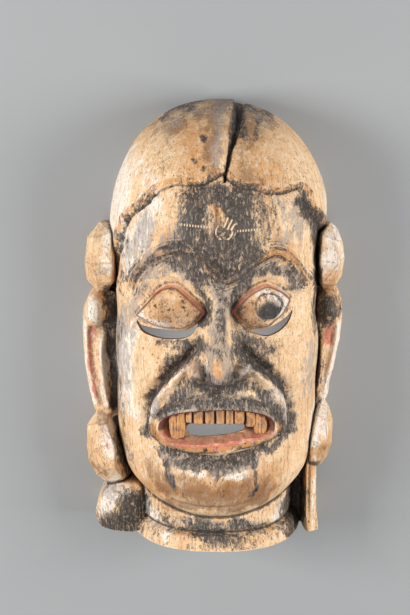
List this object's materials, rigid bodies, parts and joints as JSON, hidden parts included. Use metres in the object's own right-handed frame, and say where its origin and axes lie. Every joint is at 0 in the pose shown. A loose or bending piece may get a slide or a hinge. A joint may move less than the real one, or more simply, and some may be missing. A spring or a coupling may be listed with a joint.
{
  "type": "cham dance mask",
  "caption": "Carved wooden dance mask of a fierce fanged face with bulging eyes, long ears with faceted plugs, a domed scalp and a banded collar, hollow behind.",
  "frame": {"origin": "middle of the mask's outline, on the plane of the back rim it lies on", "axes": "+X across the face towards the viewer's right, +Y from the collar towards the crown, +Z out of the face"},
  "size_m": [0.2517, 0.4166, 0.1616],
  "materials": {
    "painted_wood": "worn matt paint over carved wood"
  },
  "bodies": {
    "root": {"mask": "painted_wood"}
  },
  "joints": []
}
